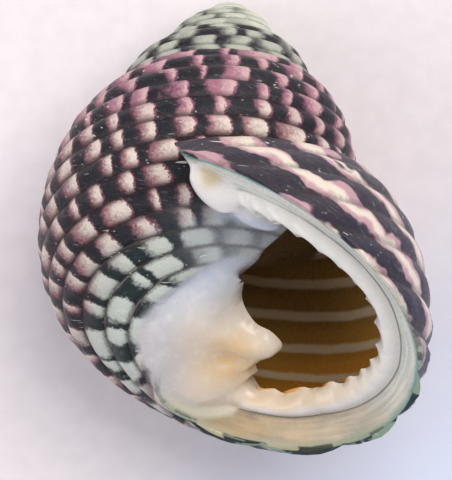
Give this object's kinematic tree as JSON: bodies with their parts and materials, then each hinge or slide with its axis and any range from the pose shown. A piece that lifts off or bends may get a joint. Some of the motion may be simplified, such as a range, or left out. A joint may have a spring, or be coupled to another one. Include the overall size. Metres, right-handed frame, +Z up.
{
  "type": "sea snail shell",
  "caption": "Corded top shell of a sea snail, lying on its back with the mouth up: conical spire, rounded body whorl, thick toothed lip and a smooth pillar with a tooth.",
  "frame": {"origin": "middle of the bounding box on the surface the shell lies on", "axes": "+Z up from that surface, +Y along the lying spire towards the apex, +X to the outer lip's side"},
  "size_m": [0.025, 0.0282, 0.0257],
  "materials": {
    "shell": "satin, dark navy and pink checks on pale cords, pearly mouth"
  },
  "bodies": {
    "root": {"shell": "shell"}
  },
  "joints": []
}
